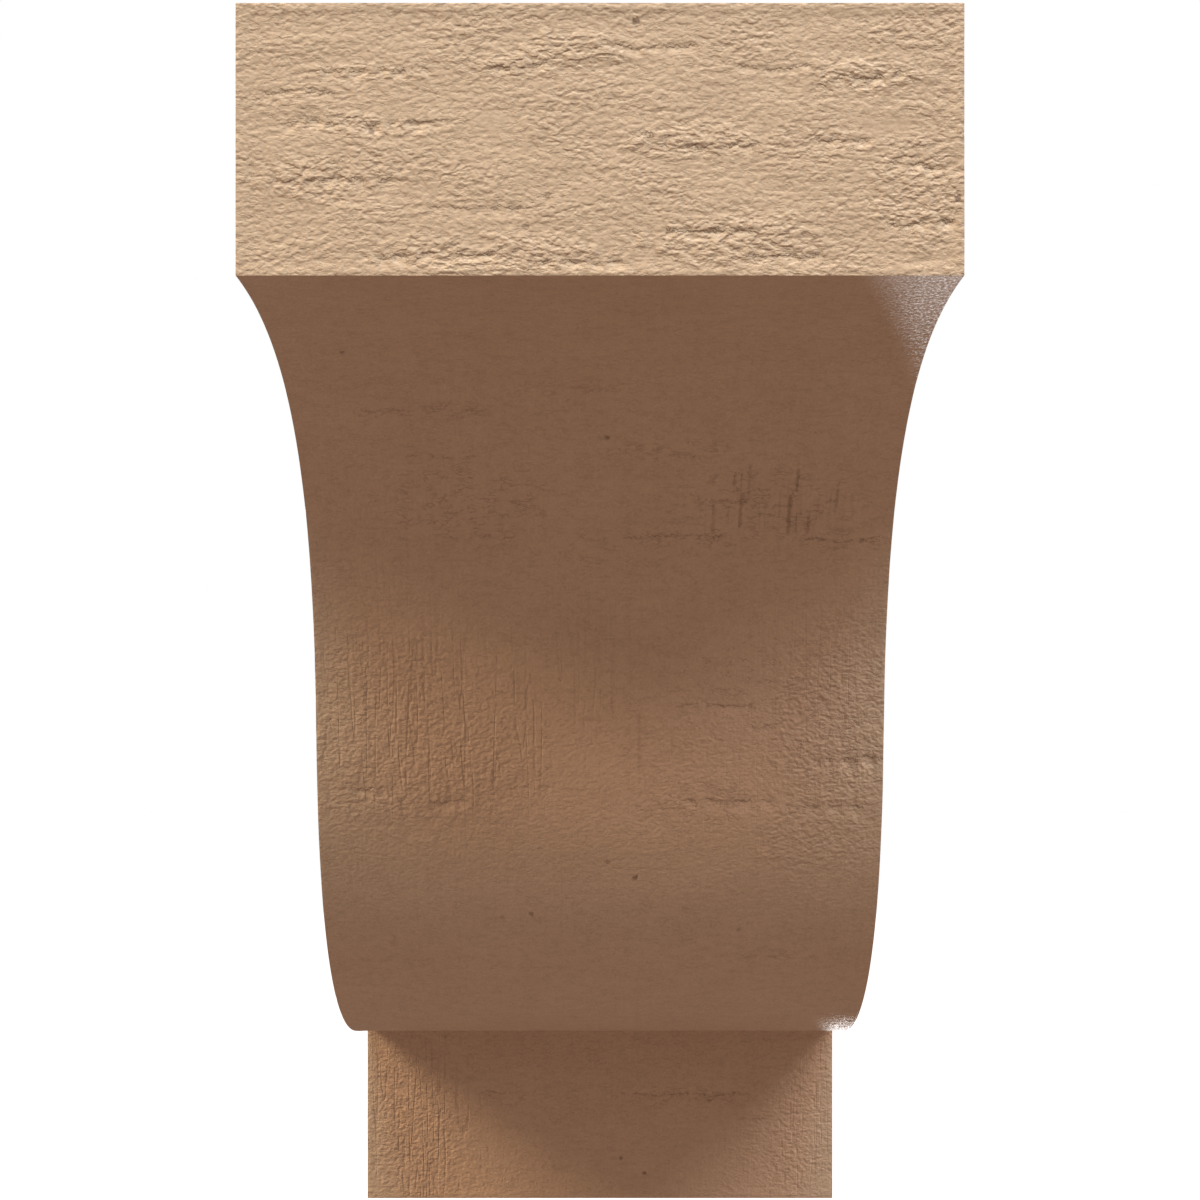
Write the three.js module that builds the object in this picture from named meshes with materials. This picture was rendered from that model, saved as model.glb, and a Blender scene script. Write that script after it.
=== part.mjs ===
// A wall corbel, moulded in one piece from rigid urethane foam with a rough-sawn
// timber skin: a deep square block on top, a shallow one at the foot, and an
// S-curve between them, a cove above the waist and a bulge below it.
//
// Millimetres, +Z up. The origin is the centre of the flat back, which goes
// against the wall at Y = 0. The front looks towards -Y.

import * as THREE from 'three';

// The corbel keeps one width from top to foot
const WIDTH = 101.6;

// The top block, which carries the shelf or beam
const HEAD_PROJECTION = 152.4;
const HEAD_HEIGHT = 38.1;

// The S-curve between the two blocks
const CURVE_HEIGHT = 127;

// The block at the foot
const FOOT_PROJECTION = 25.4;
const FOOT_HEIGHT = 38.1;

// How each half of the S-curve is drawn. The pulls say how far the curve holds
// its level line at the block and its steep line at the waist, as shares of the
// half's depth and height. The lean is the waist's run back for each unit down.
const LEVEL_PULL = 0.683;
const STEEP_PULL = 0.514;
const STRAIGHT_SHARE = 0.078;
const WAIST_LEAN = 0.0913;

// Flat facets in each half of the S-curve
const STEPS_PER_HALF = 44;

// Surface of the moulding: light tan, matt
const TIMBER_TAN = 0xc09a74;
const SKIN_ROUGHNESS = 0.86;

const TOTAL_HEIGHT = HEAD_HEIGHT + CURVE_HEIGHT + FOOT_HEIGHT;
const TOP_Z = TOTAL_HEIGHT / 2;
const HEAD_UNDERSIDE_Z = TOP_Z - HEAD_HEIGHT;
const FOOT_TOP_Z = HEAD_UNDERSIDE_Z - CURVE_HEIGHT;

// A point of the side view: its projection from the wall, and its height
const at = (projection, z) => new THREE.Vector2(projection, z);

const HEAD_ARRIS = at(HEAD_PROJECTION, HEAD_UNDERSIDE_Z);
const FOOT_ARRIS = at(FOOT_PROJECTION, FOOT_TOP_Z);
const WAIST = HEAD_ARRIS.clone().lerp(FOOT_ARRIS, 0.5);

// One half of the S-curve, from a block's arris to where the straight stretch at
// the waist begins. Both halves come from here, so they are the same curve turned
// half a turn about the waist.
function halfCurve(arris) {
  const depth = WAIST.x - arris.x;
  const rise = WAIST.y - arris.y;
  const lean = WAIST_LEAN * Math.abs(rise) * Math.sign(depth);
  const alongWaist = (share) => at(WAIST.x - lean * share, WAIST.y - rise * share);
  return new THREE.CubicBezierCurve(
    arris,
    at(arris.x + LEVEL_PULL * depth, arris.y),
    alongWaist(STRAIGHT_SHARE + STEEP_PULL),
    alongWaist(STRAIGHT_SHARE),
  );
}

// The outline of the side view, from the top of the back round by the front
function sideOutline() {
  const cove = halfCurve(HEAD_ARRIS).getPoints(STEPS_PER_HALF);
  const bulge = halfCurve(FOOT_ARRIS).getPoints(STEPS_PER_HALF).reverse();
  return [
    at(0, TOP_Z),
    at(HEAD_PROJECTION, TOP_Z),
    ...cove,
    ...bulge,
    at(FOOT_PROJECTION, -TOP_Z),
    at(0, -TOP_Z),
  ];
}

// The side view drawn out over the width. The outline's first axis becomes -Y,
// its second +Z, and the width runs along X, centred.
function corbelGeometry() {
  const geometry = new THREE.ExtrudeGeometry(new THREE.Shape(sideOutline()), {
    depth: WIDTH,
    bevelEnabled: false,
    steps: 1,
  });
  geometry.translate(0, 0, -WIDTH / 2);
  const outward = new THREE.Vector3(0, -1, 0);
  const up = new THREE.Vector3(0, 0, 1);
  const across = new THREE.Vector3().crossVectors(outward, up);
  geometry.applyMatrix4(new THREE.Matrix4().makeBasis(outward, up, across));
  return geometry;
}

const skin = new THREE.MeshStandardMaterial({
  color: TIMBER_TAN,
  roughness: SKIN_ROUGHNESS,
  metalness: 0,
});

const corbel = new THREE.Mesh(corbelGeometry(), skin);
corbel.name = 'corbel';

const group = new THREE.Group();
group.add(corbel);

export default group;
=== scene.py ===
"""A wall corbel moulded from urethane foam, with the skin of rough-sawn timber.

The CAD solid has the form. One mesh piece takes its place here, with the same
outline and the skin's coarser relief: torn level fibres on the top block, and
pebbled grain and ledges below it. Its material draws the finest relief, such as
creases, saw kerfs and pores, and paints shade into the pits, creases, kerfs, gaps
between lumps and along torn edges. The frame is that of the CAD model. Lengths are
in metres, or in mm where a comment says so.
"""

import math

import bpy
import numpy as np
from mathutils.geometry import delaunay_2d_cdt
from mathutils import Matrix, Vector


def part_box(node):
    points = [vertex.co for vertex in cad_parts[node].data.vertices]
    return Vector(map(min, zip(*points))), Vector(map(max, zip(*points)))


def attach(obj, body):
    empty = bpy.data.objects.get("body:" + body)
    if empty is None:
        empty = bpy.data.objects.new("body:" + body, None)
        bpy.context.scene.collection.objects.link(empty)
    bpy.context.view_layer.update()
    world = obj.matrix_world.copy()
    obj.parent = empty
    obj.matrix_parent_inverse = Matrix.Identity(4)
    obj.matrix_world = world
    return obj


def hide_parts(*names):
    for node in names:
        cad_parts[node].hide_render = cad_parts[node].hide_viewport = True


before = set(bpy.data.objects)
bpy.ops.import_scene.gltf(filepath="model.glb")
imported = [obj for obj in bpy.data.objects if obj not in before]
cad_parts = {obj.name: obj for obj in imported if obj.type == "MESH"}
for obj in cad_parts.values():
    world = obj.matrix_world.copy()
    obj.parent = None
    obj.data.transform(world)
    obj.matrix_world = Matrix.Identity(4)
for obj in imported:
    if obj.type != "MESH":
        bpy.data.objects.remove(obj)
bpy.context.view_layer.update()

MM = 0.001
NODE = "corbel"

# The solid's outline, seen from the side. The overall sizes come from the frame.
LOW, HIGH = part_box(NODE)
WIDTH = HIGH[0] - LOW[0]
PROJECTION = HIGH[1] - LOW[1]
TOP_Z = HIGH[2]
HEAD_HEIGHT = 38.1 * MM
FOOT_HEIGHT = 38.1 * MM
FOOT_PROJECTION = 25.4 * MM
LEVEL_PULL = 0.683
STEEP_PULL = 0.514
STRAIGHT_SHARE = 0.078
WAIST_LEAN = 0.0913

# Distance between the mesh's rows and columns
COLUMN_PITCH = 0.66 * MM
HEAD_ROW = 0.42 * MM
CURVE_ROW = 0.95 * MM
FOOT_ROW = 0.8 * MM
PLAIN_ROW = 4.5 * MM
SIDE_PITCH = 1.5 * MM

# The photograph's frame in pixels, and what it says of the camera
PHOTO_SIDE = 1200
HEAD_WIDTH_PX = 730.8
HORIZON_PX = 732.8
CAMERA_WIDTHS_AWAY = 2.197
SENSOR_MM = 36.0


# Smooth noise, the same on every run

# Odd multipliers that scramble a grid point and a seed into an angle
SCRAMBLE_ACROSS = 374761393
SCRAMBLE_DOWN = 668265263
SCRAMBLE_SEED = 974634777
SCRAMBLE_ALL = 1274126177
LOW_32_BITS = 0xFFFFFFFF
FIRST_SHIFT, SECOND_SHIFT = 13, 16

# Brings the noise's swing to about 1
NOISE_GAIN = 1.5


def lattice_angle(ix, iy, seed):
    """A fixed angle for each whole point of a grid."""
    mask = np.uint64(LOW_32_BITS)
    h = ix.astype(np.int64) * SCRAMBLE_ACROSS + iy.astype(np.int64) * SCRAMBLE_DOWN
    h = (h + seed * SCRAMBLE_SEED).astype(np.uint64) & mask
    h = ((h ^ (h >> np.uint64(FIRST_SHIFT))) * np.uint64(SCRAMBLE_ALL)) & mask
    h = h ^ (h >> np.uint64(SECOND_SHIFT))
    return h.astype(float) / float(LOW_32_BITS) * 2 * math.pi


def soft_rise(t):
    """From 0 to 1 as t does, level at both ends."""
    return t * t * t * (t * (t * 6 - 15) + 10)


def noise(u, v, seed):
    """Gradient noise of two coordinates, about -1 to 1, one feature to a unit."""
    iu, iv = np.floor(u), np.floor(v)
    fu, fv = u - iu, v - iv
    su, sv = soft_rise(fu), soft_rise(fv)

    def corner(du, dv):
        angle = lattice_angle(iu + du, iv + dv, seed)
        return np.cos(angle) * (fu - du) + np.sin(angle) * (fv - dv)

    near = corner(0, 0) * (1 - su) + corner(1, 0) * su
    far = corner(0, 1) * (1 - su) + corner(1, 1) * su
    return (near * (1 - sv) + far * sv) * NOISE_GAIN


def grain(u, v, width, height, seed):
    """Noise of a place in metres, one feature to each width and height in mm."""
    return noise(u / (width * MM), v / (height * MM), seed)


def smoothstep(low, high, value):
    """0 below the low value and 1 above the high one, with a smooth rise between them."""
    t = np.clip((value - low) / (high - low), 0, 1)
    return t * t * (3 - 2 * t)


# The outline as bands, one for each face of the corbel

def curve_points(arris, waist, steps=400):
    """One half of the S-curve, from a block's arris to the waist, as (y, z)."""
    depth = waist[0] - arris[0]
    rise = waist[1] - arris[1]
    lean = WAIST_LEAN * abs(rise) * math.copysign(1, depth)

    def on_waist_line(share):
        return np.array([waist[0] - lean * share, waist[1] - rise * share])

    start = np.array(arris)
    level = np.array([arris[0] + LEVEL_PULL * depth, arris[1]])
    steep = on_waist_line(STRAIGHT_SHARE + STEEP_PULL)
    end = on_waist_line(STRAIGHT_SHARE)
    t = np.linspace(0, 1, steps)[:, None]
    bend = ((1 - t) ** 3 * start + 3 * (1 - t) ** 2 * t * level
            + 3 * (1 - t) * t ** 2 * steep + t ** 3 * end)
    return np.vstack([bend, np.array(waist)])


def respaced(points, pitch):
    """The same line with points at an even distance, its ends kept."""
    steps = np.hypot(*np.diff(points, axis=0).T)
    run = np.concatenate([[0], np.cumsum(steps)])
    count = max(1, round(run[-1] / pitch))
    even = np.linspace(0, run[-1], count + 1)
    return np.column_stack([np.interp(even, run, points[:, k]) for k in (0, 1)])


def outline_bands():
    """The outline's faces in order, as name and points, clockwise seen from +X."""
    front = -PROJECTION
    head_z = TOP_Z - HEAD_HEIGHT
    foot_z = -TOP_Z + FOOT_HEIGHT
    head_arris = (front, head_z)
    foot_arris = (-FOOT_PROJECTION, foot_z)
    waist = ((front - FOOT_PROJECTION) / 2, (head_z + foot_z) / 2)
    cove = curve_points(head_arris, waist)
    bulge = curve_points(foot_arris, waist)[::-1]
    lines = [
        ("top", [(0, TOP_Z), (front, TOP_Z)], PLAIN_ROW),
        ("head", [(front, TOP_Z), head_arris], HEAD_ROW),
        ("curve", np.vstack([cove, bulge[1:]]), CURVE_ROW),
        ("foot", [foot_arris, (-FOOT_PROJECTION, -TOP_Z)], FOOT_ROW),
        ("underside", [(-FOOT_PROJECTION, -TOP_Z), (0, -TOP_Z)], PLAIN_ROW),
        ("back", [(0, -TOP_Z), (0, TOP_Z)], PLAIN_ROW),
    ]
    return [(name, respaced(np.array(points, float), pitch)) for name, points, pitch in lines]


def outward(points):
    """The outward direction at each point of a band."""
    along = np.gradient(points, axis=0)
    along /= np.hypot(along[:, 0], along[:, 1])[:, None]
    return np.column_stack([along[:, 1], -along[:, 0]])


# The relief of the skin: how far each point lies under the solid's face. The
# functions take a place as u across and v down the face, in metres. The tables
# give places and sizes in mm, across from the left side and down the front's
# surface from the top arris.

# How far an arris is worn, and how wide the wear and the calmer skin beside it are
EDGE_WEAR = 0.06 * MM
EDGE_WIDTH = 0.4 * MM
EDGE_CALM = 2.2 * MM
EDGE_SHARE = 0.3

# The share of a torn line's depth in the mesh. The material adds its own.
MESH_SHARE = 0.6

# How far from a torn line or a mark the material still reads the distance to it, in mm
LEDGE_REACH = 4.0
MARK_REACH = 3.0

# How far above a torn line its depth for the material begins to go and is gone, in mm,
# and how far from a mark its darkness does
LEDGE_ABOVE = (1.2, 2.2)
MARK_ROUND = (1.6, 2.4)

# A torn line's slow wander and its ragged edge: how far each strays, over what run
WANDER, WANDER_RUN = 0.8 * MM, 6 * MM
RAGGED, RAGGED_RUN = 0.35 * MM, 1.5 * MM

# The run of its breaks and the noise values between which it is gone or clear, and
# the run and amount of the fray at its ends and the shares of its half length
# between which it ends
BREAK_RUN, BREAK_EDGE = 2.0 * MM, (-0.35, 0.2)
END_RUN, END_FRAY, END_EDGE = 3 * MM, 0.25, (0.55, 1.0)

HEAD_SEED, BODY_SEED, SIDE_SEED = 200, 300, 400

# Half the side of a pore's core, in mm
PORE_CORE = 0.2

# Ledges of torn fibre: across, down, length, depth and how soon it runs out
HEAD_LEDGES = [
    (18.5, 9.3, 21, 0.22, 1.6), (40.0, 8.6, 10, 0.30, 1.3), (18.0, 16.6, 27, 0.26, 1.8),
    (88.0, 10.2, 13, 0.38, 1.5), (57.8, 18.6, 7, 0.32, 1.2), (66.0, 19.8, 20, 0.20, 1.3),
    (76.0, 8.9, 14, 0.18, 1.0), (14.0, 24.6, 22, 0.24, 1.6), (96.0, 30.6, 13, 0.28, 1.4),
    (65.0, 31.8, 20, 0.26, 1.5), (84.0, 19.0, 12, 0.20, 1.5), (27.0, 35.0, 24, 0.26, 1.3),
    (48.0, 36.2, 16, 0.24, 1.2), (96.0, 22.6, 10, 0.22, 1.4), (58.0, 6.0, 16, 0.22, 1.2),
    (35.0, 28.5, 18, 0.14, 1.8), (76.0, 35.2, 14, 0.26, 1.1), (8.0, 12.5, 14, 0.14, 1.5),
]
BODY_LEDGES = [
    (22.2, 79.8, 30, 0.10, 1.6), (45.2, 74.3, 15, 0.08, 1.4), (25.2, 89.4, 20, 0.12, 1.6),
    (62.1, 89.0, 22, 0.10, 1.6), (64.0, 104.3, 22, 0.22, 1.8), (92.1, 105.1, 17, 0.24, 1.6),
    (30.0, 104.6, 18, 0.12, 1.6), (72.2, 134.7, 16, 0.26, 2.0), (79.4, 138.5, 6, 0.16, 1.6),
    (95.0, 144.4, 15, 0.46, 2.6), (74.3, 151.8, 20, 0.26, 2.0), (10.1, 149.6, 9, 0.26, 2.4),
    (23.7, 152.0, 9, 0.22, 2.2), (38.0, 149.4, 12, 0.12, 2.0), (92.0, 153.0, 14, 0.30, 2.0),
    (81.9, 184.4, 14, 0.12, 1.6), (40.0, 187.0, 16, 0.08, 1.4), (14.0, 185.0, 18, 0.08, 1.4),
    (68.9, 256.6, 34, 0.24, 1.4), (29.2, 256.4, 8, 0.18, 1.2), (84.0, 262.0, 10, 0.12, 1.2),
]

# Where the skin is coarser: across, down, half width, half height, amount
COARSE_SPOTS = [
    (47, 6.5, 9, 3.0, 1.0), (36, 35, 17, 3.2, 1.0), (95, 26, 8, 9, 0.9), (70, 33, 15, 4.2, 1.0),
    (88, 10, 9, 2.4, 1.0), (64, 19.3, 12, 2.6, 0.9), (19, 17, 12, 2.0, 0.8), (40, 8.6, 7, 2.0, 1.0),
    (94, 4, 9, 3.2, 0.7), (11, 24.5, 10, 3.6, 0.9), (19, 9.6, 11, 1.6, 0.7), (72, 2.5, 6, 1.8, 0.6),
    (80, 20, 10, 3.4, 0.7), (18, 140, 24, 20, 0.75), (92, 140, 13, 22, 1.0), (68, 144, 16, 14, 0.5),
    (12, 152, 14, 5, 0.9), (10, 262, 12, 20, 0.9), (92, 262, 12, 20, 0.6), (28, 100, 16, 7, 0.35),
    (78, 98, 20, 8, 0.4), (90, 158, 12, 8, 0.9), (97, 54, 8, 18, 0.8),
]
CALM_SPOTS = [
    (22.3, 15.0, 3.2, 1.8, 1.0), (37.0, 17.4, 4, 2.6, 0.9), (34, 33.2, 3, 1.2, 0.8),
    (91, 16.8, 7, 1.6, 0.9), (8.0, 149.4, 1.6, 1.4, 1.0), (76.0, 124, 8, 14, 0.8),
    (42, 168, 30, 9, 0.7), (8.5, 255.7, 2.0, 1.5, 0.9),
]
KERF_SPOTS = [
    (22, 138, 26, 18, 1.0), (48, 128, 12, 16, 0.6), (84, 99, 16, 6, 0.8), (16, 104, 14, 18, 0.4),
    (12, 262, 14, 22, 1.0), (96, 262, 9, 22, 0.5), (60, 142, 6, 10, 0.5),
]

# Pores, small pits darkened with painted shade: across, down and how strong, which sets the pit's dip
# and how dark its painted shade is
PORES = [
    (19.0, 18.0, 1.0), (55.8, 2.6, 1.0), (100.6, 27.3, 1.0), (40.5, 31.2, 0.5), (43.5, 26.9, 0.6),
    (10.6, 65.6, 0.8), (52.0, 85.5, 0.8), (38.1, 174.2, 0.7), (32.8, 174.7, 0.4), (52.1, 163.6, 0.7),
    (57.2, 166.6, 1.0), (55.4, 270.5, 0.8), (60.4, 273.8, 0.9), (74.6, 258.1, 0.5), (76.4, 177.8, 0.5),
]

# Strokes of the saw, cut in and darkened with painted shade: across, down, half length and how strong,
# which sets the dip and how dark the painted shade is
STROKES = [
    (73.7, 93.8, 1.1, 0.5), (76.2, 94.5, 3.5, 0.3), (75.0, 99.5, 3.0, 0.5), (84.4, 94.0, 2.0, 0.5),
    (83.4, 100.4, 3.4, 0.55), (86.8, 102.0, 1.6, 0.4), (91.3, 97.5, 2.8, 0.3), (70.4, 101.0, 2.4, 0.3),
    (25.5, 132.0, 7.0, 0.16), (57.8, 141.5, 5.2, 0.16), (9.0, 134.0, 6.0, 0.25), (17.6, 137.0, 5.0, 0.2),
]


def ledge_line(u, centre, start, length, seed):
    """How far down a torn line runs at each point across, and how clear it is there."""
    level = np.zeros_like(u)
    wander = WANDER * noise(u / WANDER_RUN, level + seed, seed)
    ragged = RAGGED * noise(u / RAGGED_RUN, level + seed, seed + 5)
    across = np.abs(u - centre) / (length / 2)
    broken = smoothstep(*BREAK_EDGE, noise(u / BREAK_RUN, level, seed + 7))
    frayed = across + END_FRAY * noise(u / END_RUN, level, seed + 9)
    window = 1 - smoothstep(*END_EDGE, frayed)
    return start + wander + ragged, window * broken


def ledge(u, v, centre, start, length, depth, fade, seed):
    """A torn fibre: the skin drops in along a ragged level line and runs out below."""
    line, clear = ledge_line(u, centre, start, length, seed)
    below = (v - line) / fade
    return depth * clear * np.where(below > 0, np.clip(1 - below, 0, 1), 0)


def nearest_line(u, v, ledges, seed):
    """How far each point lies below the nearest torn line and how deep it is, both in mm."""
    away, depth = np.full_like(u, -LEDGE_REACH), np.zeros_like(u)
    best = np.full_like(u, LEDGE_REACH)
    for k, (centre, start, length, full, fade) in enumerate(ledges):
        line, clear = ledge_line(u, centre * MM, start * MM, length * MM, seed + k)
        below = (v - line) / MM
        closer = (np.abs(below) < best) & (clear > 0)
        left_below = np.clip(1 - np.maximum(below, 0) / fade, 0, 1)
        left_above = 1 - smoothstep(*LEDGE_ABOVE, -below)
        away[closer] = below[closer]
        depth[closer] = (full * clear * (left_below * left_above))[closer]
        best[closer] = np.abs(below)[closer]
    return away, depth


def front_line(u, v):
    """The same for the front, whose two parts have their own tables."""
    head = nearest_line(u, v, HEAD_LEDGES, HEAD_SEED)
    body = nearest_line(u, v, BODY_LEDGES, BODY_SEED)
    return [np.where(v < HEAD_HEIGHT, *pair) for pair in zip(head, body)]


def with_ledges(depth, u, v, ledges, seed):
    """A relief with the torn lines of a table cut into it, the mesh's part of them."""
    for k, (centre, start, length, full, fade) in enumerate(ledges):
        depth = depth + MESH_SHARE * ledge(u, v, centre * MM, start * MM, length * MM,
                                           full * MM, fade * MM, seed + k)
    return depth


def nearest_mark(u, v):
    """For each point, the nearest pore or stroke: how far across it lies from it and how
    far past its end, both in mm, and how strong the mark is, which sets both its dip and
    its painted shade."""
    across, past = np.full_like(u, MARK_REACH), np.full_like(u, MARK_REACH)
    dark, best = np.zeros_like(u), np.full_like(u, MARK_REACH)
    pores = [(place, down, PORE_CORE, strength) for place, down, strength in PORES]
    for place, down, half_length, strength in pores + STROKES:
        aside, over = u / MM - place, v / MM - down
        half_width = PORE_CORE if half_length == PORE_CORE else 0.0
        aside = np.sign(aside) * np.maximum(np.abs(aside) - half_width, 0)
        over = np.sign(over) * np.maximum(np.abs(over) - half_length, 0)
        away = np.hypot(aside, over)
        closer = away < best
        across[closer], past[closer] = aside[closer], over[closer]
        dark[closer] = (strength * (1 - smoothstep(*MARK_ROUND, away)))[closer]
        best[closer] = away[closer]
    return across, past, dark


# How much a patch's edge frays, the fray's width and height in mm, and the shares of
# the patch's half size between which it goes
SPOT_FRAY = 0.35
SPOT_FRAY_SIZE = (2.6, 1.6)
SPOT_EDGE = (0.45, 1.25)


def spots(u, v, places, seed):
    """Soft patches with broken edges, the strongest of those that overlap."""
    frayed = SPOT_FRAY * grain(u, v, *SPOT_FRAY_SIZE, seed)
    total = np.zeros_like(u)
    for across, down, half_width, half_height, amount in places:
        aside = (u - across * MM) / (half_width * MM)
        over = (v - down * MM) / (half_height * MM)
        share = smoothstep(*SPOT_EDGE, np.hypot(aside, over) + frayed)
        total = np.maximum(total, amount * (1 - share))
    return total


# How coarse the skin is outside the patches, and how far that drifts
HEAD_COARSENESS, BODY_COARSENESS = 0.22, 0.10
COARSE_DRIFT = 0.35
BODY_DRIFT_SHARE = 0.4

# How clearly the kerfs show outside their patches, and how far that drifts. They
# come in over this much below the head.
KERFS_LEAST, KERFS_DRIFT = 0.15, 0.25
KERFS_START = 2 * MM

# The noise values between which each drift rises
COARSE_RISE, KERFS_RISE, SIDE_RISE = (-0.2, 0.7), (0.0, 0.8), (-0.3, 0.5)

# What the material draws, in mm: on a plain skin, and what full coarseness adds
HEAD_LUMPS, BODY_LUMPS, SIDE_LUMPS = (0.05, 0.17), (0.04, 0.12), (0.04, 0.10)
HEAD_GRIT, BODY_GRIT, SIDE_GRIT = (0.03, 0.03), (0.05, 0.045), (0.05, 0.03)
SIDE_KERFS = (0.02, 0.03)
KERF_DEPTH = 0.09

# The mesh's relief in mm: its mean depth and the swing of each of its parts
HEAD_DEPTH, HEAD_FIBRE, HEAD_FINE, HEAD_BROAD = 0.18, 0.042, 0.035, 0.055
BODY_DEPTH, BODY_PEBBLE, BODY_BROAD = 0.14, 0.05, 0.04
SIDE_DEPTH, SIDE_FIBRE, SIDE_BROAD = 0.16, 0.05, 0.05
PLAIN_DEPTH, PLAIN_BROAD = 0.05, 0.03

# The share of the fibres' swing that is left where the skin is not coarse at all
FIBRE_SHARE = 0.3

# How far the fibres bend from the level on the head and on a side
HEAD_BEND, SIDE_BEND = 0.9 * MM, 1.4 * MM

# The larger pebbles' swing, as a share of the smaller ones'
LARGE_PEBBLES = 0.6

# Half the height over which the head's relief turns into the body's
SEAM = 0.1 * MM


def coarseness(u, v):
    """How coarse the front's skin is, 0 to 1."""
    on_head = v < HEAD_HEIGHT
    drift = smoothstep(*COARSE_RISE, grain(u, v, width=13, height=5, seed=51))
    level = np.where(on_head, HEAD_COARSENESS, BODY_COARSENESS)
    own = level + COARSE_DRIFT * drift * np.where(on_head, 1.0, BODY_DRIFT_SHARE)
    rough = np.maximum(own, spots(u, v, COARSE_SPOTS, seed=52))
    return rough * (1 - spots(u, v, CALM_SPOTS, seed=53))


def kerf_share(u, v):
    """How clearly the saw kerfs show on the front, 0 to 1."""
    drift = smoothstep(*KERFS_RISE, grain(u, v, width=16, height=24, seed=54))
    below_head = smoothstep(0, KERFS_START, v - HEAD_HEIGHT)
    own = KERFS_LEAST + KERFS_DRIFT * drift
    return np.maximum(own, spots(u, v, KERF_SPOTS, seed=55)) * below_head


def by_coarseness(plain, added, rough):
    """A value that grows with the skin's coarseness."""
    return plain + added * rough


def lump_height(u, v):
    """Height in mm of the small lumps that the material draws on the front."""
    rough = coarseness(u, v)
    return np.where(v < HEAD_HEIGHT, by_coarseness(*HEAD_LUMPS, rough),
                    by_coarseness(*BODY_LUMPS, rough))


def grit_height(u, v):
    """Height in mm of the finest grain that the material draws on the front."""
    rough = coarseness(u, v)
    return np.where(v < HEAD_HEIGHT, by_coarseness(*HEAD_GRIT, rough),
                    by_coarseness(*BODY_GRIT, rough))


def kerf_depth(u, v):
    """Depth in mm of the saw kerfs on the front."""
    return KERF_DEPTH * kerf_share(u, v)


def head_relief(u, v):
    """Coarse level fibres, in rough bands with calmer patches between them."""
    bent = v + HEAD_BEND * grain(u, v, width=11, height=7, seed=11)
    rough = FIBRE_SHARE + (1 - FIBRE_SHARE) * coarseness(u, v)
    fibre = grain(u, bent, width=1.9, height=1.4, seed=13)
    fine = grain(u, bent, width=1.35, height=1.0, seed=14)
    broad = grain(u, bent, width=10, height=3.6, seed=15)
    return (HEAD_DEPTH + rough * (HEAD_FIBRE * fibre + HEAD_FINE * fine) + HEAD_BROAD * broad) * MM


def body_relief(u, v):
    """Pebbled grain."""
    small = grain(u, v, width=1.9, height=2.1, seed=21)
    pebble = small + LARGE_PEBBLES * grain(u, v, width=3.4, height=3, seed=22)
    broad = grain(u, v, width=20, height=8, seed=24)
    return (BODY_DEPTH + BODY_PEBBLE * coarseness(u, v) * pebble + BODY_BROAD * broad) * MM


def front_relief(u, v):
    """The relief down the whole front."""
    on_body = smoothstep(-SEAM, SEAM, v - HEAD_HEIGHT)
    head = with_ledges(head_relief(u, v), u, v, HEAD_LEDGES, HEAD_SEED)
    body = with_ledges(body_relief(u, v), u, v, BODY_LEDGES, BODY_SEED)
    return head * (1 - on_body) + body * on_body


# The ledges of a side: how many, where as shares of the height, and their lengths,
# depths and fades in mm
SIDE_LEDGE_COUNT, SIDE_DRAW_SEED = 44, 7
LEDGE_PLACES = (0.03, 0.97)
LEDGE_LENGTHS, LEDGE_DEPTHS, LEDGE_FADES = (8, 30), (0.12, 0.36), (1.2, 3.0)


def scattered_ledges(count, seed):
    """Ledges strewn over a side by a seeded draw, in the form of the tables above."""
    draw = np.random.default_rng(seed)
    return [(draw.uniform(0, PROJECTION / MM), draw.uniform(*LEDGE_PLACES) * 2 * TOP_Z / MM,
             draw.uniform(*LEDGE_LENGTHS), draw.uniform(*LEDGE_DEPTHS), draw.uniform(*LEDGE_FADES))
            for _ in range(count)]


SIDE_LEDGES = scattered_ledges(SIDE_LEDGE_COUNT, SIDE_DRAW_SEED)


def side_coarseness(u, v):
    """How coarse a side's skin is, 0 to 1."""
    return smoothstep(*SIDE_RISE, grain(u, v, width=34, height=16, seed=32))


def side_relief(u, v):
    """The sides: the same skin, plainer. u runs out from the wall and v down."""
    bent = v + SIDE_BEND * grain(u, v, width=18, height=12, seed=31)
    rough = FIBRE_SHARE + (1 - FIBRE_SHARE) * side_coarseness(u, v)
    fibre = grain(u, bent, width=7, height=2.6, seed=33)
    broad = grain(u, bent, width=30, height=9, seed=34)
    depth = (SIDE_DEPTH + SIDE_FIBRE * rough * fibre + SIDE_BROAD * broad) * MM
    return with_ledges(depth, u, v, SIDE_LEDGES, SIDE_SEED)


def plain_relief(u, v):
    """Back, top and underside: nearly flat."""
    return (PLAIN_DEPTH + PLAIN_BROAD * grain(u, v, width=16, height=16, seed=41)) * MM


def eased(depth, to_edge):
    """Relief dies down towards an arris, and the arris itself is a little worn."""
    calm = EDGE_SHARE + (1 - EDGE_SHARE) * smoothstep(0, EDGE_CALM, to_edge)
    return depth * calm + EDGE_WEAR * np.exp(-(to_edge / EDGE_WIDTH) ** 2)


# The mesh

FRONT_BANDS = ("head", "curve", "foot")


def band_depths(name, columns, run):
    """The depth of every point of a band, rows down the face and columns across."""
    u, v = np.meshgrid(columns - LOW[0], run)
    depth = front_relief(u, v) if name in FRONT_BANDS else plain_relief(u, v)
    to_start, to_end = v - run[0], run[-1] - v
    if name == "curve":
        depth = depth * smoothstep(0, EDGE_CALM, to_end)
        to_end = to_start
    if name == "foot":
        depth = depth * smoothstep(0, EDGE_CALM, to_start)
        to_start = to_end
    to_side = np.minimum(u, WIDTH - u)
    return eased(depth, np.minimum(to_side, np.minimum(to_start, to_end)))


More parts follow.
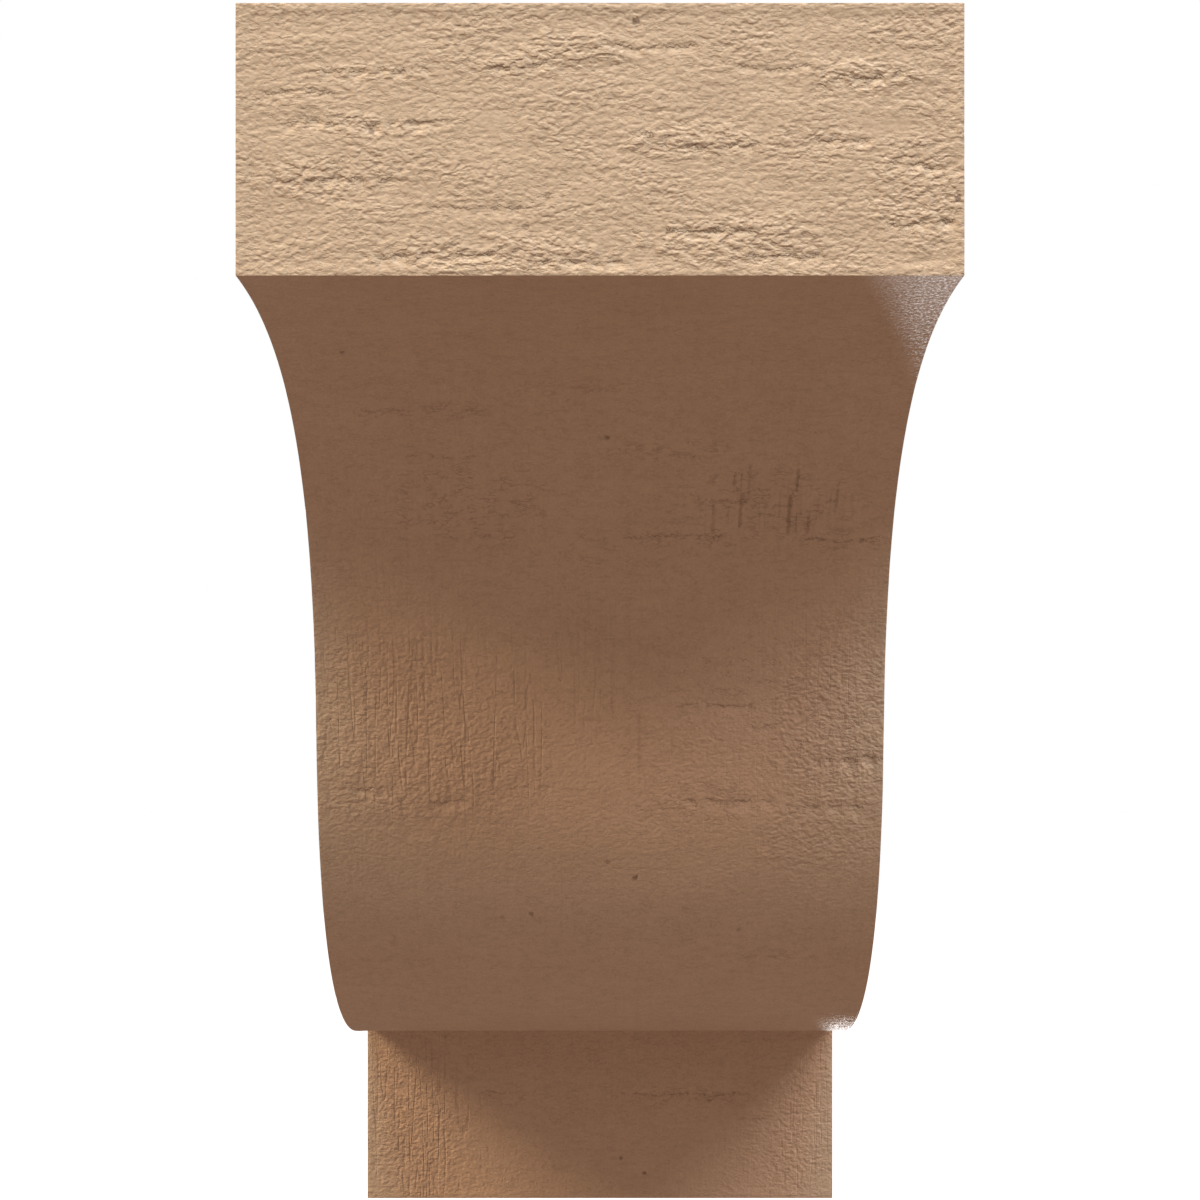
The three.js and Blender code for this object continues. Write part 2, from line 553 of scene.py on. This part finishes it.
# Where fine creases show: across, down, half width, half height, amount
CREASE_SPOTS = [
    (28, 98, 17, 9, 1.0), (22, 80, 18, 3, 0.9), (46, 75, 11, 4, 0.8), (62, 88, 15, 2.5, 1.0),
    (80, 98, 20, 8, 1.0), (68, 104.5, 14, 2.2, 1.0), (94, 105, 12, 2.0, 1.0), (50, 108, 8, 6, 0.7),
    (58, 136, 26, 10, 0.6), (80, 130, 16, 9, 0.9), (72, 152, 18, 6, 1.0), (92, 142, 12, 12, 0.9),
    (64, 176, 26, 7, 0.6), (20, 188, 18, 4, 0.5), (82, 184, 16, 3, 0.8),
    (70, 257, 20, 2.5, 1.0), (30, 257, 8, 2, 0.9), (50, 268, 30, 8, 0.5), (60, 50, 40, 10, 0.35),
]


# How clearly creases show: on the head, at least on the rest of the front, on a side
# with what coarseness adds, and elsewhere
HEAD_CREASES, BODY_CREASES, SIDE_CREASES, PLAIN_CREASES = 0.3, 0.5, (0.3, 0.3), 0.2


def crease_share(u, v):
    """How clearly fine creases show on the front, 0 to 1."""
    body = np.maximum(BODY_CREASES, spots(u, v, CREASE_SPOTS, seed=56))
    return np.where(v < HEAD_HEIGHT, HEAD_CREASES, body)


def on_side(pair):
    """A value of the sides that grows with their coarseness."""
    return lambda u, v: by_coarseness(*pair, side_coarseness(u, v))


def side_line(u, v):
    """The nearest torn line on a side."""
    return nearest_line(u, v, SIDE_LEDGES, SIDE_SEED)


def value_of(function, number):
    """One of the values that a function gives."""
    return lambda u, v: function(u, v)[number]


# Height in mm of the lumps and the grit on the top, the back and the underside
PLAIN_LUMPS, PLAIN_GRIT = 0.05, 0.05

# What the material reads at each point: on the front, on a side and elsewhere
SKIN_FIELDS = {
    "lump_height": (lump_height, on_side(SIDE_LUMPS), PLAIN_LUMPS),
    "grit_height": (grit_height, on_side(SIDE_GRIT), PLAIN_GRIT),
    "kerf_depth": (kerf_depth, on_side(SIDE_KERFS), 0.0),
    "creases": (crease_share, on_side(SIDE_CREASES), PLAIN_CREASES),
    "ledge_away": (value_of(front_line, 0), value_of(side_line, 0), -LEDGE_REACH),
    "ledge_depth": (value_of(front_line, 1), value_of(side_line, 1), 0.0),
    "mark_across": (value_of(nearest_mark, 0), None, MARK_REACH),
    "mark_past": (value_of(nearest_mark, 1), None, MARK_REACH),
    "mark_dip_and_shade": (value_of(nearest_mark, 2), None, 0.0),
}

# Width and height in mm of one small lump of each face, for the lumps' own map
LUMP_SIZES = {
    "top": (1.6, 1.6), "head": (1.12, 0.92), "curve": (1.1, 0.95), "foot": (1.1, 0.95),
    "underside": (1.6, 1.6), "back": (1.3, 1.3), "side": (1.3, 1.0),
}

# How far the right side's relief is taken from the left side's, so that they differ.
# It lies past the torn lines, which the right side has from the material alone.
MIRROR_SHIFT = 0.4

# Where each side lies on the developed map, clear of the front
LEFT_MAP_PLACE, RIGHT_MAP_PLACE = 2.0, 1.0


def measured_bands(columns):
    """Each band's name, first row, points, outward directions, runs down the face and
    depths, and how many rows there are in all."""
    bands, first, front_run = [], 0, 0.0
    for name, points in outline_bands():
        steps = np.hypot(*np.diff(points, axis=0).T)
        run = np.concatenate([[0], np.cumsum(steps)])
        if name in FRONT_BANDS:
            run = run + front_run
            front_run = run[-1]
        bands.append((name, first, points, outward(points), run, band_depths(name, columns, run)))
        first += len(points) - 1
    return bands, first


def ring_points(bands, rows, columns):
    """The points of every row, pressed in by their depth, and the outline itself."""
    outline = np.zeros((rows, 2))
    move = np.zeros((rows, len(columns), 2))
    for _, first, points, normal, _, depth in bands:
        for k in range(len(points)):
            row = (first + k) % rows
            outline[row] = points[k]
            move[row] -= depth[k][:, None] * normal[k][None, :]
    verts = np.zeros((rows, len(columns), 3))
    verts[:, :, 0] = columns[None, :]
    verts[:, :, 1:] = outline[:, None, :] + move
    return verts, outline


def skin_points(verts, side_points, outline):
    """All points of the mesh: the rows, then the left side's field and the right's."""
    rows = len(outline)
    u, v = -side_points[:, 0], TOP_Z - side_points[:, 1]
    edge_away = distance_to_outline(side_points, outline)
    left_depth = eased(side_relief(u, v), edge_away)
    right_depth = eased(side_relief(u + MIRROR_SHIFT, v), edge_away)
    verts[:, 0, 0] += left_depth[:rows]
    verts[:, -1, 0] -= right_depth[:rows]
    field = side_points[rows:]
    left = np.column_stack([LOW[0] + left_depth[rows:], field])
    right = np.column_stack([HIGH[0] - right_depth[rows:], field])
    return np.vstack([verts.reshape(-1, 3), left, right])


def band_faces(bands, rows, columns):
    """The bands' faces, each with its corners' places on the developed map and its
    band's name."""
    count = len(columns)
    faces = []
    for name, first, points, _, run, _ in bands:
        for k in range(len(points) - 1):
            a, b = (first + k) % rows * count, (first + k + 1) % rows * count
            for c in range(count - 1):
                places = ((columns[c], run[k]), (columns[c], run[k + 1]),
                          (columns[c + 1], run[k + 1]), (columns[c + 1], run[k]))
                faces.append(((a + c, b + c, b + c + 1, a + c + 1), places, name))
    return faces


def faces_of_sides(side_points, triangles, rows, count):
    """The two sides' faces, in the same form."""
    field = len(side_points) - rows

    def number(k, is_right):
        if k < rows:
            return k * count + (count - 1 if is_right else 0)
        return rows * count + (k - rows) + (field if is_right else 0)

    faces = []
    for is_right in (False, True):
        shift = RIGHT_MAP_PLACE if is_right else LEFT_MAP_PLACE
        for triangle in triangles:
            ring = triangle if is_right else triangle[::-1]
            places = tuple((-side_points[k][0] + shift, TOP_Z - side_points[k][1]) for k in ring)
            faces.append((tuple(number(k, is_right) for k in ring), places, "side"))
    return faces


def sharp_edges(bands, rows, count):
    """The arrises: where two bands meet, and round both sides."""
    sharp = set()
    for _, first, *_ in bands:
        corner = first % rows * count
        sharp.update((corner + c, corner + c + 1) for c in range(count - 1))
    for column in (0, count - 1):
        for row in range(rows):
            ends = (row * count + column, (row + 1) % rows * count + column)
            sharp.add((min(ends), max(ends)))
    return sharp


def in_lumps(places, name):
    """Places on the developed map, counted in lumps of their face's size."""
    wide, high = (size * MM for size in LUMP_SIZES[name])
    return [(s / wide, t / high) for s, t in places]


def add_map(mesh, title, rings):
    """A map of the mesh's corners, from the places round each face."""
    layer = mesh.uv_layers.new(name=title)
    flat = np.array([place for ring in rings for place in ring], dtype=np.float32)
    layer.data.foreach_set("uv", flat.ravel())


def add_field(mesh, title, bands, columns, field):
    """What the material reads at each point, as an attribute of the mesh."""
    for_front, for_side, plain = SKIN_FIELDS[title]
    parts = []
    for name, _, _, _, run, _ in bands:
        u, v = np.meshgrid(columns - LOW[0], run)
        values = for_front(u, v) if name in FRONT_BANDS else np.full_like(u, plain)
        parts.append(values[:-1].ravel())
    side = np.full(len(field), plain)
    if for_side:
        side = for_side(-field[:, 0], TOP_Z - field[:, 1])
    values = np.concatenate([*parts, side, side]).astype(np.float32)
    mesh.attributes.new(title, "FLOAT", "POINT").data.foreach_set("value", values)


def build_skin():
    """The corbel's surface as one closed mesh that lies inside the solid."""
    columns = np.linspace(LOW[0], HIGH[0], round(WIDTH / COLUMN_PITCH) + 1)
    count = len(columns)
    bands, rows = measured_bands(columns)
    verts, outline = ring_points(bands, rows, columns)
    side_points, triangles = side_fill(outline)
    points = skin_points(verts, side_points, outline)
    faces = band_faces(bands, rows, columns) + faces_of_sides(side_points, triangles, rows, count)

    mesh = bpy.data.meshes.new("corbel_skin")
    mesh.from_pydata(points.tolist(), [], [corners for corners, _, _ in faces])
    add_map(mesh, "developed", [places for _, places, _ in faces])
    add_map(mesh, "lumps", [in_lumps(places, name) for _, places, name in faces])
    mesh.polygons.foreach_set("use_smooth", [True] * len(mesh.polygons))
    sharp = sharp_edges(bands, rows, count)
    for edge in mesh.edges:
        a, b = edge.vertices
        if (min(a, b), max(a, b)) in sharp:
            edge.use_edge_sharp = True
    for title in SKIN_FIELDS:
        add_field(mesh, title, bands, columns, side_points[rows:])
    mesh.validate()
    mesh.update()
    piece = bpy.data.objects.new("corbel_skin", mesh)
    bpy.context.scene.collection.objects.link(piece)
    return piece


def distance_to_outline(points, outline):
    """How far each point of the side is from the outline."""
    ends = np.roll(outline, -1, axis=0)
    best = np.full(len(points), np.inf)
    for a, b in zip(outline, ends):
        along = b - a
        t = np.clip(((points - a) @ along) / max(along @ along, TINY), 0, 1)
        gap = points - (a + t[:, None] * along)
        best = np.minimum(best, np.hypot(gap[:, 0], gap[:, 1]))
    return best


# The side's field keeps this share of its pitch from the outline. Points closer to
# each other than the join distance, in mm, count as one.
FIELD_MARGIN = 0.55
JOIN_DISTANCE = 1e-6
KEEP_INNER_FACES = 1
TINY = 1e-18


def side_fill(outline):
    """Triangles over one side. The outline's points come first, then the field."""
    rise = SIDE_PITCH * math.sqrt(3) / 2
    field = []
    for j, z in enumerate(np.arange(-TOP_Z + rise, TOP_Z, rise)):
        offset = SIDE_PITCH / 2 if j % 2 else 0.0
        field.extend((y, z) for y in np.arange(-PROJECTION + offset, 0, SIDE_PITCH))
    field = np.array(field)
    field = field[inside(field, outline)]
    field = field[distance_to_outline(field, outline) > SIDE_PITCH * FIELD_MARGIN]
    points = np.vstack([outline, field])
    count = len(outline)
    edges = [(k, (k + 1) % count) for k in range(count)]
    flat = [tuple(p / MM) for p in points]
    _, _, faces, origin, _, _ = delaunay_2d_cdt(flat, edges, [], KEEP_INNER_FACES, JOIN_DISTANCE)
    back = [source[0] for source in origin]
    return points, [turned_up([back[k] for k in face], points) for face in faces]


def turned_up(face, points):
    """The face's corners in the order that faces +X."""
    a, b, c = (points[k] for k in face)
    area = (b[0] - a[0]) * (c[1] - a[1]) - (b[1] - a[1]) * (c[0] - a[0])
    return face if area > 0 else face[::-1]


def inside(points, outline):
    """Which points the closed outline holds."""
    held = np.zeros(len(points), bool)
    ends = np.roll(outline, -1, axis=0)
    for (ay, az), (by, bz) in zip(outline, ends):
        spans = (az > points[:, 1]) != (bz > points[:, 1])
        if az != bz:
            cross = (by - ay) * (points[:, 1] - az) / (bz - az) + ay
            held ^= spans & (points[:, 0] < cross)
    return held


# The skin's material

PALE_COLOUR = (0.595, 0.417, 0.272, 1)
MIDDLE_COLOUR = (0.574, 0.400, 0.260, 1)
# The colour of the painted shade that pits, creases, gaps between lumps, kerfs and torn edges are mixed
# towards
PAINTED_SHADE_COLOUR = (0.13, 0.07, 0.038, 1)

# How much painted shade a mark, a torn edge and a crease put on the skin, and each mm
# of the gaps between lumps and of a kerf: shade painted into pits, creases and recesses
MARK_PAINTED_SHADE, TORN_PAINTED_SHADE, CREASE_PAINTED_SHADE = 0.65, 0.24, 0.24
GAP_PAINTED_SHADE, KERF_PAINTED_SHADE = 1.3, 1.2

# The darkest that the fine speckle and the broader mottle make the skin
SPECKLE_LEAST, MOTTLE_LEAST = 0.93, 0.955

# Depth in mm of creases and marks, and the share of a torn line's depth drawn here
CREASE_DEPTH, MARK_DEPTH = 0.055, 0.08
DRAWN_LEDGE_SHARE = 0.7

# How far a torn line's edge frays, in mm, how wide its drop and the painted shadow
# along its edge are, and the line's depth from which that painted shadow is full
LEDGE_FRAY = 1.6
LEDGE_DROP = (-0.06, 0.10)
TORN_EDGE = (0.05, 0.38)
FULL_TORN_DEPTH = 0.15

# How far a mark's edge frays, in mm, and between which distances from it it ends
MARK_FRAY = 0.5
MARK_EDGE = (0.38, 0.68)

# The noise's values are most often between these
NOISE_LOW, NOISE_HIGH = 0.3, 0.7

# The noise values between which torn lumps rise, creases gather and kerfs break off,
# and how far from the noise's middle the thin lines reach
TORN_LUMP_RISE, CREASE_GATHER, KERF_BREAK = (0.30, 0.64), (0.40, 0.58), (0.34, 0.52)
CREASE_CORE, KERF_CORE, LINE_REACH = 0.008, 0.0, 0.05

# How far the lumps are bent out of round, in lumps
LUMP_BEND = 0.9

DULL_ROUGHNESS, GLOSSY_ROUGHNESS = 0.82, 0.56
PLASTIC_IOR = 1.45

# The map's shift for a noise, along its other two axes for one along the first
SHIFT_DOWN, SHIFT_IN = 0.7, 1.3


class Nodes:
    """Short ways to add and join the nodes of one material."""

    def __init__(self, material):
        material.use_nodes = True
        self.tree = material.node_tree
        self.tree.nodes.clear()
        self.link = self.tree.links.new
        self.place = self.add("ShaderNodeUVMap", uv_map="developed").outputs["UV"]

    def add(self, kind, **values):
        made = self.tree.nodes.new(kind)
        for name, value in values.items():
            setattr(made, name, value)
        return made

    def feed(self, socket, value):
        if isinstance(value, bpy.types.NodeSocket):
            self.link(value, socket)
        else:
            socket.default_value = value

    def math(self, operation, a, b=0.0):
        made = self.add("ShaderNodeMath", operation=operation)
        self.feed(made.inputs[0], a)
        self.feed(made.inputs[1], b)
        return made.outputs[0]

    def share(self, name):
        return self.add("ShaderNodeAttribute", attribute_name=name).outputs["Fac"]

    def stretched(self, width, height, offset):
        """The developed map, one feature to each width and height in mm."""
        return self.mapped(self.place, 1 / (width * MM), 1 / (height * MM), offset)

    def mapped(self, source, across, down, offset):
        moved = self.add("ShaderNodeMapping")
        moved.inputs["Location"].default_value = (offset, offset * SHIFT_DOWN, offset * SHIFT_IN)
        moved.inputs["Scale"].default_value = (across, down, 1)
        self.link(source, moved.inputs["Vector"])
        return moved.outputs[0]

    def noise(self, source, detail=1.0, roughness=0.5):
        made = self.add("ShaderNodeTexNoise", noise_dimensions="2D")
        made.inputs["Scale"].default_value = 1.0
        made.inputs["Detail"].default_value = detail
        made.inputs["Roughness"].default_value = roughness
        self.link(source, made.inputs["Vector"])
        return made

    def grain(self, width, height, offset, detail=1.0, roughness=0.5):
        return self.noise(self.stretched(width, height, offset), detail, roughness).outputs["Fac"]

    def lumps(self, source):
        """Rounded lumps with creases between them, low in a crease and 1 on a lump."""
        waver = self.noise(source)
        pushed = self.add("ShaderNodeVectorMath", operation="MULTIPLY_ADD")
        self.link(waver.outputs["Color"], pushed.inputs[0])
        pushed.inputs[1].default_value = (LUMP_BEND, LUMP_BEND, 0)
        self.link(source, pushed.inputs[2])
        cells = self.add("ShaderNodeTexVoronoi", voronoi_dimensions="2D", feature="F1")
        cells.inputs["Scale"].default_value = 1.0
        self.link(pushed.outputs[0], cells.inputs["Vector"])
        away = cells.outputs["Distance"]
        round_ones = self.math("SUBTRACT", 1.0, self.math("MULTIPLY", away, away))
        torn = self.noise(self.mapped(source, across=0.8, down=1.1, offset=5.0), detail=1.5)
        torn_ones = self.ramp(torn.outputs["Fac"], *TORN_LUMP_RISE)
        return self.weighted((round_ones, 0.5), (torn_ones, 0.5))

    def ramp(self, value, low, high, low_out=0.0, high_out=1.0):
        made = self.add("ShaderNodeMapRange", interpolation_type="SMOOTHSTEP")
        self.link(value, made.inputs["Value"])
        made.inputs["From Min"].default_value = low
        made.inputs["From Max"].default_value = high
        made.inputs["To Min"].default_value = low_out
        made.inputs["To Max"].default_value = high_out
        return made.outputs[0]

    def weighted(self, *terms):
        """The sum of some values, each times its weight."""
        total = None
        for value, weight in terms:
            part = self.math("MULTIPLY", value, weight)
            total = part if total is None else self.math("ADD", total, part)
        return total

    def line_at_middle(self, value, core):
        """1 in the thin line where a value passes its middle, and 0 away from it."""
        away = self.math("ABSOLUTE", self.math("SUBTRACT", value, 0.5))
        return self.ramp(away, core, LINE_REACH, 1.0, 0.0)


def creases(n):
    """1 in thin crooked level creases, which gather in places, and 0 between them."""
    wander = n.grain(width=2.4, height=1.0, offset=43.0, detail=2.0, roughness=0.6)
    line = n.line_at_middle(wander, CREASE_CORE)
    gathered = n.ramp(n.grain(width=3.6, height=1.8, offset=47.0), *CREASE_GATHER)
    return n.math("MULTIPLY", n.math("MULTIPLY", line, gathered), n.share("creases"))


def kerfs(n):
    """0 in thin upright saw kerfs and 1 between them."""
    wander = n.grain(width=2.6, height=45.0, offset=19.0, detail=1.5, roughness=0.6)
    line = n.line_at_middle(wander, KERF_CORE)
    broken = n.ramp(n.grain(width=1.3, height=5.0, offset=23.0), *KERF_BREAK)
    return n.math("SUBTRACT", 1.0, n.math("MULTIPLY", line, broken))


def frayed_ledge(n):
    """How far below a torn line's frayed edge each point is, in mm."""
    rough = n.grain(width=0.8, height=0.7, offset=51.0, detail=2.0, roughness=0.65)
    fray = n.math("MULTIPLY", n.math("SUBTRACT", rough, 0.5), LEDGE_FRAY)
    return n.math("ADD", n.share("ledge_away"), fray)


def marks(n):
    """How strongly a pore or a stroke shows at each point, 0 to 1, with a broken edge. It sets the
    mark's dip and its painted shade.
    """
    across, past = n.share("mark_across"), n.share("mark_past")
    squares = n.math("ADD", n.math("MULTIPLY", across, across), n.math("MULTIPLY", past, past))
    fray = n.math("MULTIPLY", n.grain(width=0.45, height=0.9, offset=41.0), MARK_FRAY)
    away = n.math("ADD", n.math("SQRT", squares), fray)
    return n.math("MULTIPLY", n.ramp(away, *MARK_EDGE, 1.0, 0.0), n.share("mark_dip_and_shade"))


def skin_height(n, cells, lumps, kerf, ledge_away, crease, mark):
    """The skin's finest relief in mm: lumps, grit, creases, kerfs, torn lines and marks."""
    grit = n.noise(n.mapped(cells, across=1.6, down=1.5, offset=7.0), detail=0.0).outputs["Fac"]
    drop = n.math("MULTIPLY", n.ramp(ledge_away, *LEDGE_DROP), n.share("ledge_depth"))
    return n.weighted((lumps, n.share("lump_height")), (grit, n.share("grit_height")),
                      (kerf, n.share("kerf_depth")), (drop, -DRAWN_LEDGE_SHARE),
                      (crease, -CREASE_DEPTH), (mark, -MARK_DEPTH))


def plain_colour(n, fine):
    """Tan, mottled a little."""
    broad = n.ramp(n.grain(width=13.0, height=8.0, offset=29.0, detail=3.0), NOISE_LOW, NOISE_HIGH)
    colour = n.add("ShaderNodeMix", data_type="RGBA")
    colour.inputs["A"].default_value = MIDDLE_COLOUR
    colour.inputs["B"].default_value = PALE_COLOUR
    n.link(broad, colour.inputs["Factor"])
    speckle = n.ramp(fine, NOISE_LOW, NOISE_HIGH, SPECKLE_LEAST, 1.0)
    patches = n.grain(width=1.5, height=1.15, offset=39.0, detail=2.0, roughness=0.6)
    mottle = n.ramp(patches, NOISE_LOW, NOISE_HIGH, MOTTLE_LEAST, 1.0)
    made = n.add("ShaderNodeVectorMath", operation="SCALE")
    n.link(colour.outputs["Result"], made.inputs[0])
    n.link(n.math("MULTIPLY", speckle, mottle), made.inputs["Scale"])
    return made.outputs[0]


def skin_colour(n, fine, lumps, kerf, ledge_away, crease, mark):
    """The plain colour with painted shade in creases, gaps between lumps, kerfs, marks and along torn
    edges.
    """
    # Painted shadow along a torn line's overhanging edge
    edge = n.ramp(n.math("ABSOLUTE", ledge_away), *TORN_EDGE, 1.0, 0.0)
    torn = n.math("MULTIPLY", edge, n.ramp(n.share("ledge_depth"), 0.0, FULL_TORN_DEPTH))
    # Painted shade in the gaps between lumps
    gap = n.math("MULTIPLY", n.math("SUBTRACT", 1.0, lumps), n.share("lump_height"))
    # Painted shade in the kerfs
    cut = n.math("MULTIPLY", n.math("SUBTRACT", 1.0, kerf), n.share("kerf_depth"))
    # Painted shade: these darkenings stand in for the shade that falls in the skin's recesses
    dark = n.weighted((mark, MARK_PAINTED_SHADE), (torn, TORN_PAINTED_SHADE), (crease, CREASE_PAINTED_SHADE),
                      (gap, GAP_PAINTED_SHADE), (cut, KERF_PAINTED_SHADE))
    made = n.add("ShaderNodeMix", data_type="RGBA")
    n.link(dark, made.inputs["Factor"])
    n.link(plain_colour(n, fine), made.inputs["A"])
    made.inputs["B"].default_value = PAINTED_SHADE_COLOUR
    return made.outputs["Result"]


def skin_material():
    material = bpy.data.materials.new("moulded_timber_skin")
    n = Nodes(material)
    cells = n.add("ShaderNodeUVMap", uv_map="lumps").outputs["UV"]
    details = (n.lumps(cells), kerfs(n), frayed_ledge(n), creases(n), marks(n))
    fine = n.grain(width=0.45, height=0.4, offset=37.0)

    bump = n.add("ShaderNodeBump")
    bump.inputs["Strength"].default_value = 1.0
    bump.inputs["Distance"].default_value = MM
    n.link(skin_height(n, cells, *details), bump.inputs["Height"])

    skin = n.add("ShaderNodeBsdfPrincipled")
    skin.inputs["IOR"].default_value = PLASTIC_IOR
    roughness = n.ramp(fine, NOISE_LOW, NOISE_HIGH, DULL_ROUGHNESS, GLOSSY_ROUGHNESS)
    n.link(skin_colour(n, fine, *details), skin.inputs["Base Color"])
    n.link(roughness, skin.inputs["Roughness"])
    n.link(bump.outputs["Normal"], skin.inputs["Normal"])
    out = n.add("ShaderNodeOutputMaterial")
    n.link(skin.outputs["BSDF"], out.inputs["Surface"])
    return material


# Stage, light and camera

LIGHT_DISTANCE = 2.5
LEFT_POWER = 104.8
LEFT_COLOUR = (1.0, 0.777, 0.561)
RIGHT_POWER = 94.7
RIGHT_COLOUR = (1.0, 0.905, 0.938)
OVERHEAD_POWER = 59.6
OVERHEAD_COLOUR = (0.508, 0.898, 1.0)
RIM_POWER = 40.0
WHITE = (1.0, 1.0, 1.0)
FILL_STRENGTH = 0.389
FILL_COLOUR = (1.0, 0.755, 0.66)

# The floor reaches this far each way and lies this far below the corbel's middle
FLOOR_REACH, FLOOR_DROP = 12.0, 1.4
FLOOR_GREY = 0.9
FLOOR_ROUGHNESS = 0.9
FLOOR_GLOW = 0.85
CLIP_START = 0.01


def add_floor():
    """A plain pale floor, well below the corbel, as it hangs on a wall in use."""
    turns = ((-1, -1), (1, -1), (1, 1), (-1, 1))
    corners = [(x * FLOOR_REACH, y * FLOOR_REACH, -FLOOR_DROP) for x, y in turns]
    mesh = bpy.data.meshes.new("floor")
    mesh.from_pydata(corners, [], [(0, 1, 2, 3)])
    floor = bpy.data.objects.new("floor", mesh)
    bpy.context.scene.collection.objects.link(floor)
    material = bpy.data.materials.new("pale_floor")
    material.use_nodes = True
    surface = material.node_tree.nodes["Principled BSDF"]
    surface.inputs["Base Color"].default_value = (FLOOR_GREY, FLOOR_GREY, FLOOR_GREY, 1)
    surface.inputs["Roughness"].default_value = FLOOR_ROUGHNESS
    surface.inputs["Emission Color"].default_value = (*WHITE, 1)
    surface.inputs["Emission Strength"].default_value = FLOOR_GLOW
    mesh.materials.append(material)
    floor.visible_diffuse = False
    floor.visible_glossy = False
    return floor


def add_softbox(name, azimuth, elevation, half_angle, power, colour):
    """A round light that faces the corbel's middle. Angles are in degrees, the
    azimuth from straight in front towards the right."""
    light = bpy.data.lights.new(name, "AREA")
    light.shape = "DISK"
    light.size = 2 * LIGHT_DISTANCE * math.tan(math.radians(half_angle))
    light.energy = power
    light.color = colour
    lamp = bpy.data.objects.new(name, light)
    turn, rise = math.radians(azimuth), math.radians(elevation)
    level = math.cos(rise)
    aim = np.array([math.sin(turn) * level, -math.cos(turn) * level, math.sin(rise)])
    lamp.location = np.array([0, -PROJECTION / 2, 0]) + aim * LIGHT_DISTANCE
    lamp.rotation_euler = (math.pi / 2 - rise, 0, turn)
    lamp.visible_camera = False
    bpy.context.scene.collection.objects.link(lamp)
    return lamp


def add_rim_light():
    """A light behind, below and a little to the right. It shows only as a glint at the
    right end of the cove and of the bulge's underside."""
    lamp = add_softbox("rim_light", azimuth=169.0, elevation=-27.0, half_angle=5.0,
                       power=RIM_POWER, colour=WHITE)
    lamp.visible_diffuse = False


def set_world():
    """White behind the corbel, and a dimmer warm fill on it."""
    world = bpy.data.worlds.new("studio")
    world.use_nodes = True
    tree = world.node_tree
    tree.nodes.clear()
    seen = tree.nodes.new("ShaderNodeBackground")
    seen.inputs["Color"].default_value = (*WHITE, 1)
    seen.inputs["Strength"].default_value = 1.0
    fill = tree.nodes.new("ShaderNodeBackground")
    fill.inputs["Color"].default_value = (*FILL_COLOUR, 1)
    fill.inputs["Strength"].default_value = FILL_STRENGTH
    path = tree.nodes.new("ShaderNodeLightPath")
    mix = tree.nodes.new("ShaderNodeMixShader")
    out = tree.nodes.new("ShaderNodeOutputWorld")
    tree.links.new(path.outputs["Is Camera Ray"], mix.inputs[0])
    tree.links.new(fill.outputs[0], mix.inputs[1])
    tree.links.new(seen.outputs[0], mix.inputs[2])
    tree.links.new(mix.outputs[0], out.inputs["Surface"])
    bpy.context.scene.world = world


def add_camera():
    """Level with the corbel's middle, straight in front, as the photograph has it."""
    data = bpy.data.cameras.new("camera")
    data.sensor_width = SENSOR_MM
    data.lens = SENSOR_MM * CAMERA_WIDTHS_AWAY * HEAD_WIDTH_PX / PHOTO_SIDE
    data.shift_y = (HORIZON_PX - PHOTO_SIDE / 2) / PHOTO_SIDE
    data.clip_start = CLIP_START
    camera = bpy.data.objects.new("camera", data)
    camera.location = (0, -PROJECTION - CAMERA_WIDTHS_AWAY * WIDTH, 0)
    camera.rotation_euler = (math.pi / 2, 0, 0)
    bpy.context.scene.collection.objects.link(camera)
    bpy.context.scene.camera = camera


add_camera()
set_world()
add_floor()
add_softbox("left_softbox", azimuth=-78.0, elevation=41.7, half_angle=12.8,
            power=LEFT_POWER, colour=LEFT_COLOUR)
add_softbox("right_softbox", azimuth=71.9, elevation=55.7, half_angle=18.2,
            power=RIGHT_POWER, colour=RIGHT_COLOUR)
add_rim_light()
add_softbox("overhead_softbox", azimuth=0.0, elevation=66.0, half_angle=18.0,
            power=OVERHEAD_POWER, colour=OVERHEAD_COLOUR)

skin_piece = build_skin()
skin_piece.data.materials.append(skin_material())
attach(skin_piece, "root")
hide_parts(NODE)

bpy.context.scene.view_settings.view_transform = "Standard"
